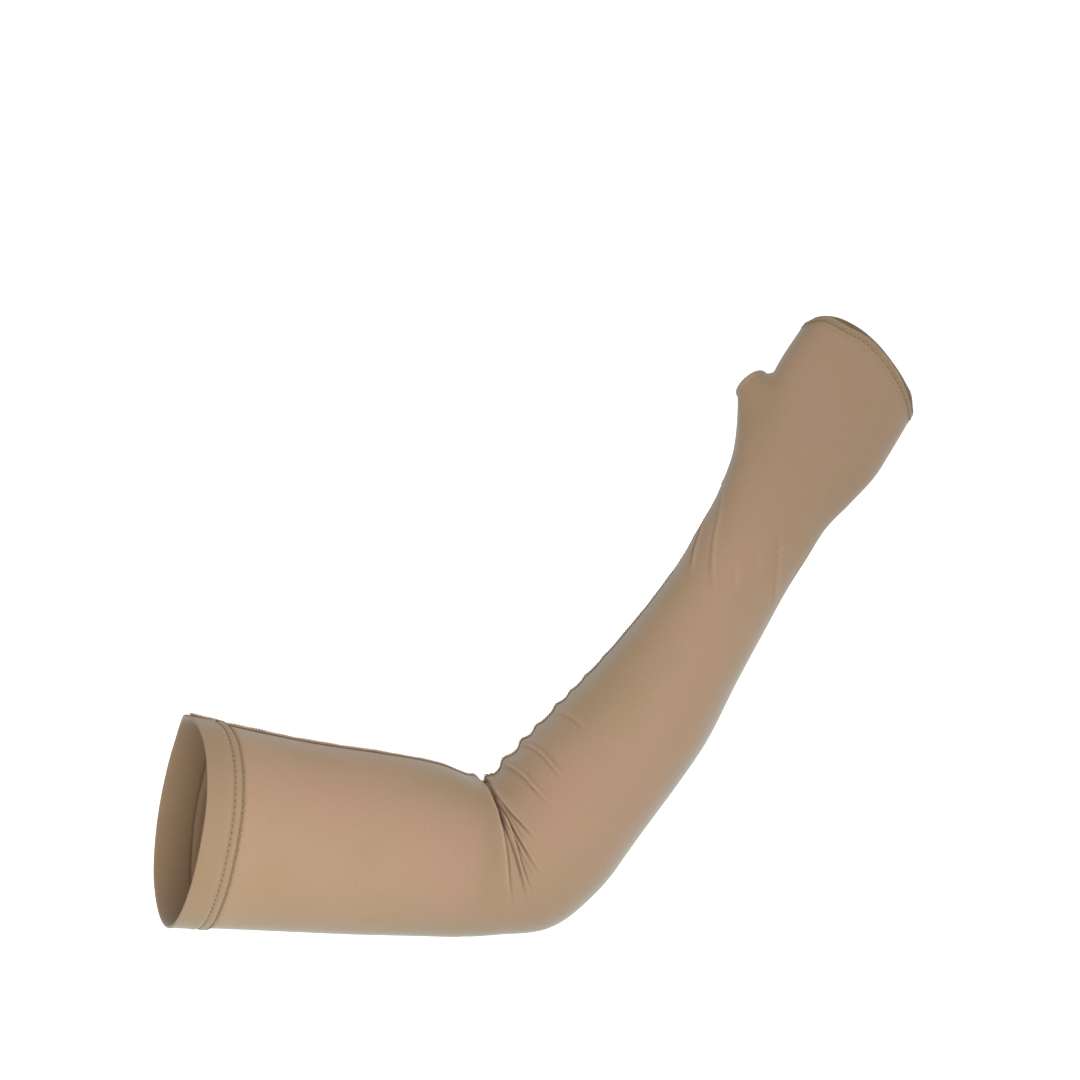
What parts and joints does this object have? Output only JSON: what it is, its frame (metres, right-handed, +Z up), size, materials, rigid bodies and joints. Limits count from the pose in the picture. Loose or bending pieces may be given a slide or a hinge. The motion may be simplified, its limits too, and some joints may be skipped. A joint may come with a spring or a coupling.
{
  "type": "cooling arm sleeve",
  "caption": "Thin stretch-knit sleeve for a bent right arm, from above the elbow to the knuckles, with a thumb opening and turned hems.",
  "frame": {"origin": "middle of the upper hem's ring, where the wearer's upper arm holds the sleeve", "axes": "+Z up, +X from the upper hem along the bent arm to the hand; the arm bends in the XZ plane and the back of the hand faces -Y"},
  "size_m": [0.4352, 0.1066, 0.3461],
  "materials": {
    "jersey": "fine knit, soft sheen",
    "hem_jersey": "fine knit turned double, soft sheen",
    "seam_thread": "overlocked thread"
  },
  "bodies": {
    "root": {"sleeve_panel": "jersey", "upper_hem": "hem_jersey", "hand_hem": "hem_jersey", "thumb_hem": "hem_jersey", "lengthwise_seam": "seam_thread", "hand_seam": "seam_thread"}
  },
  "joints": []
}
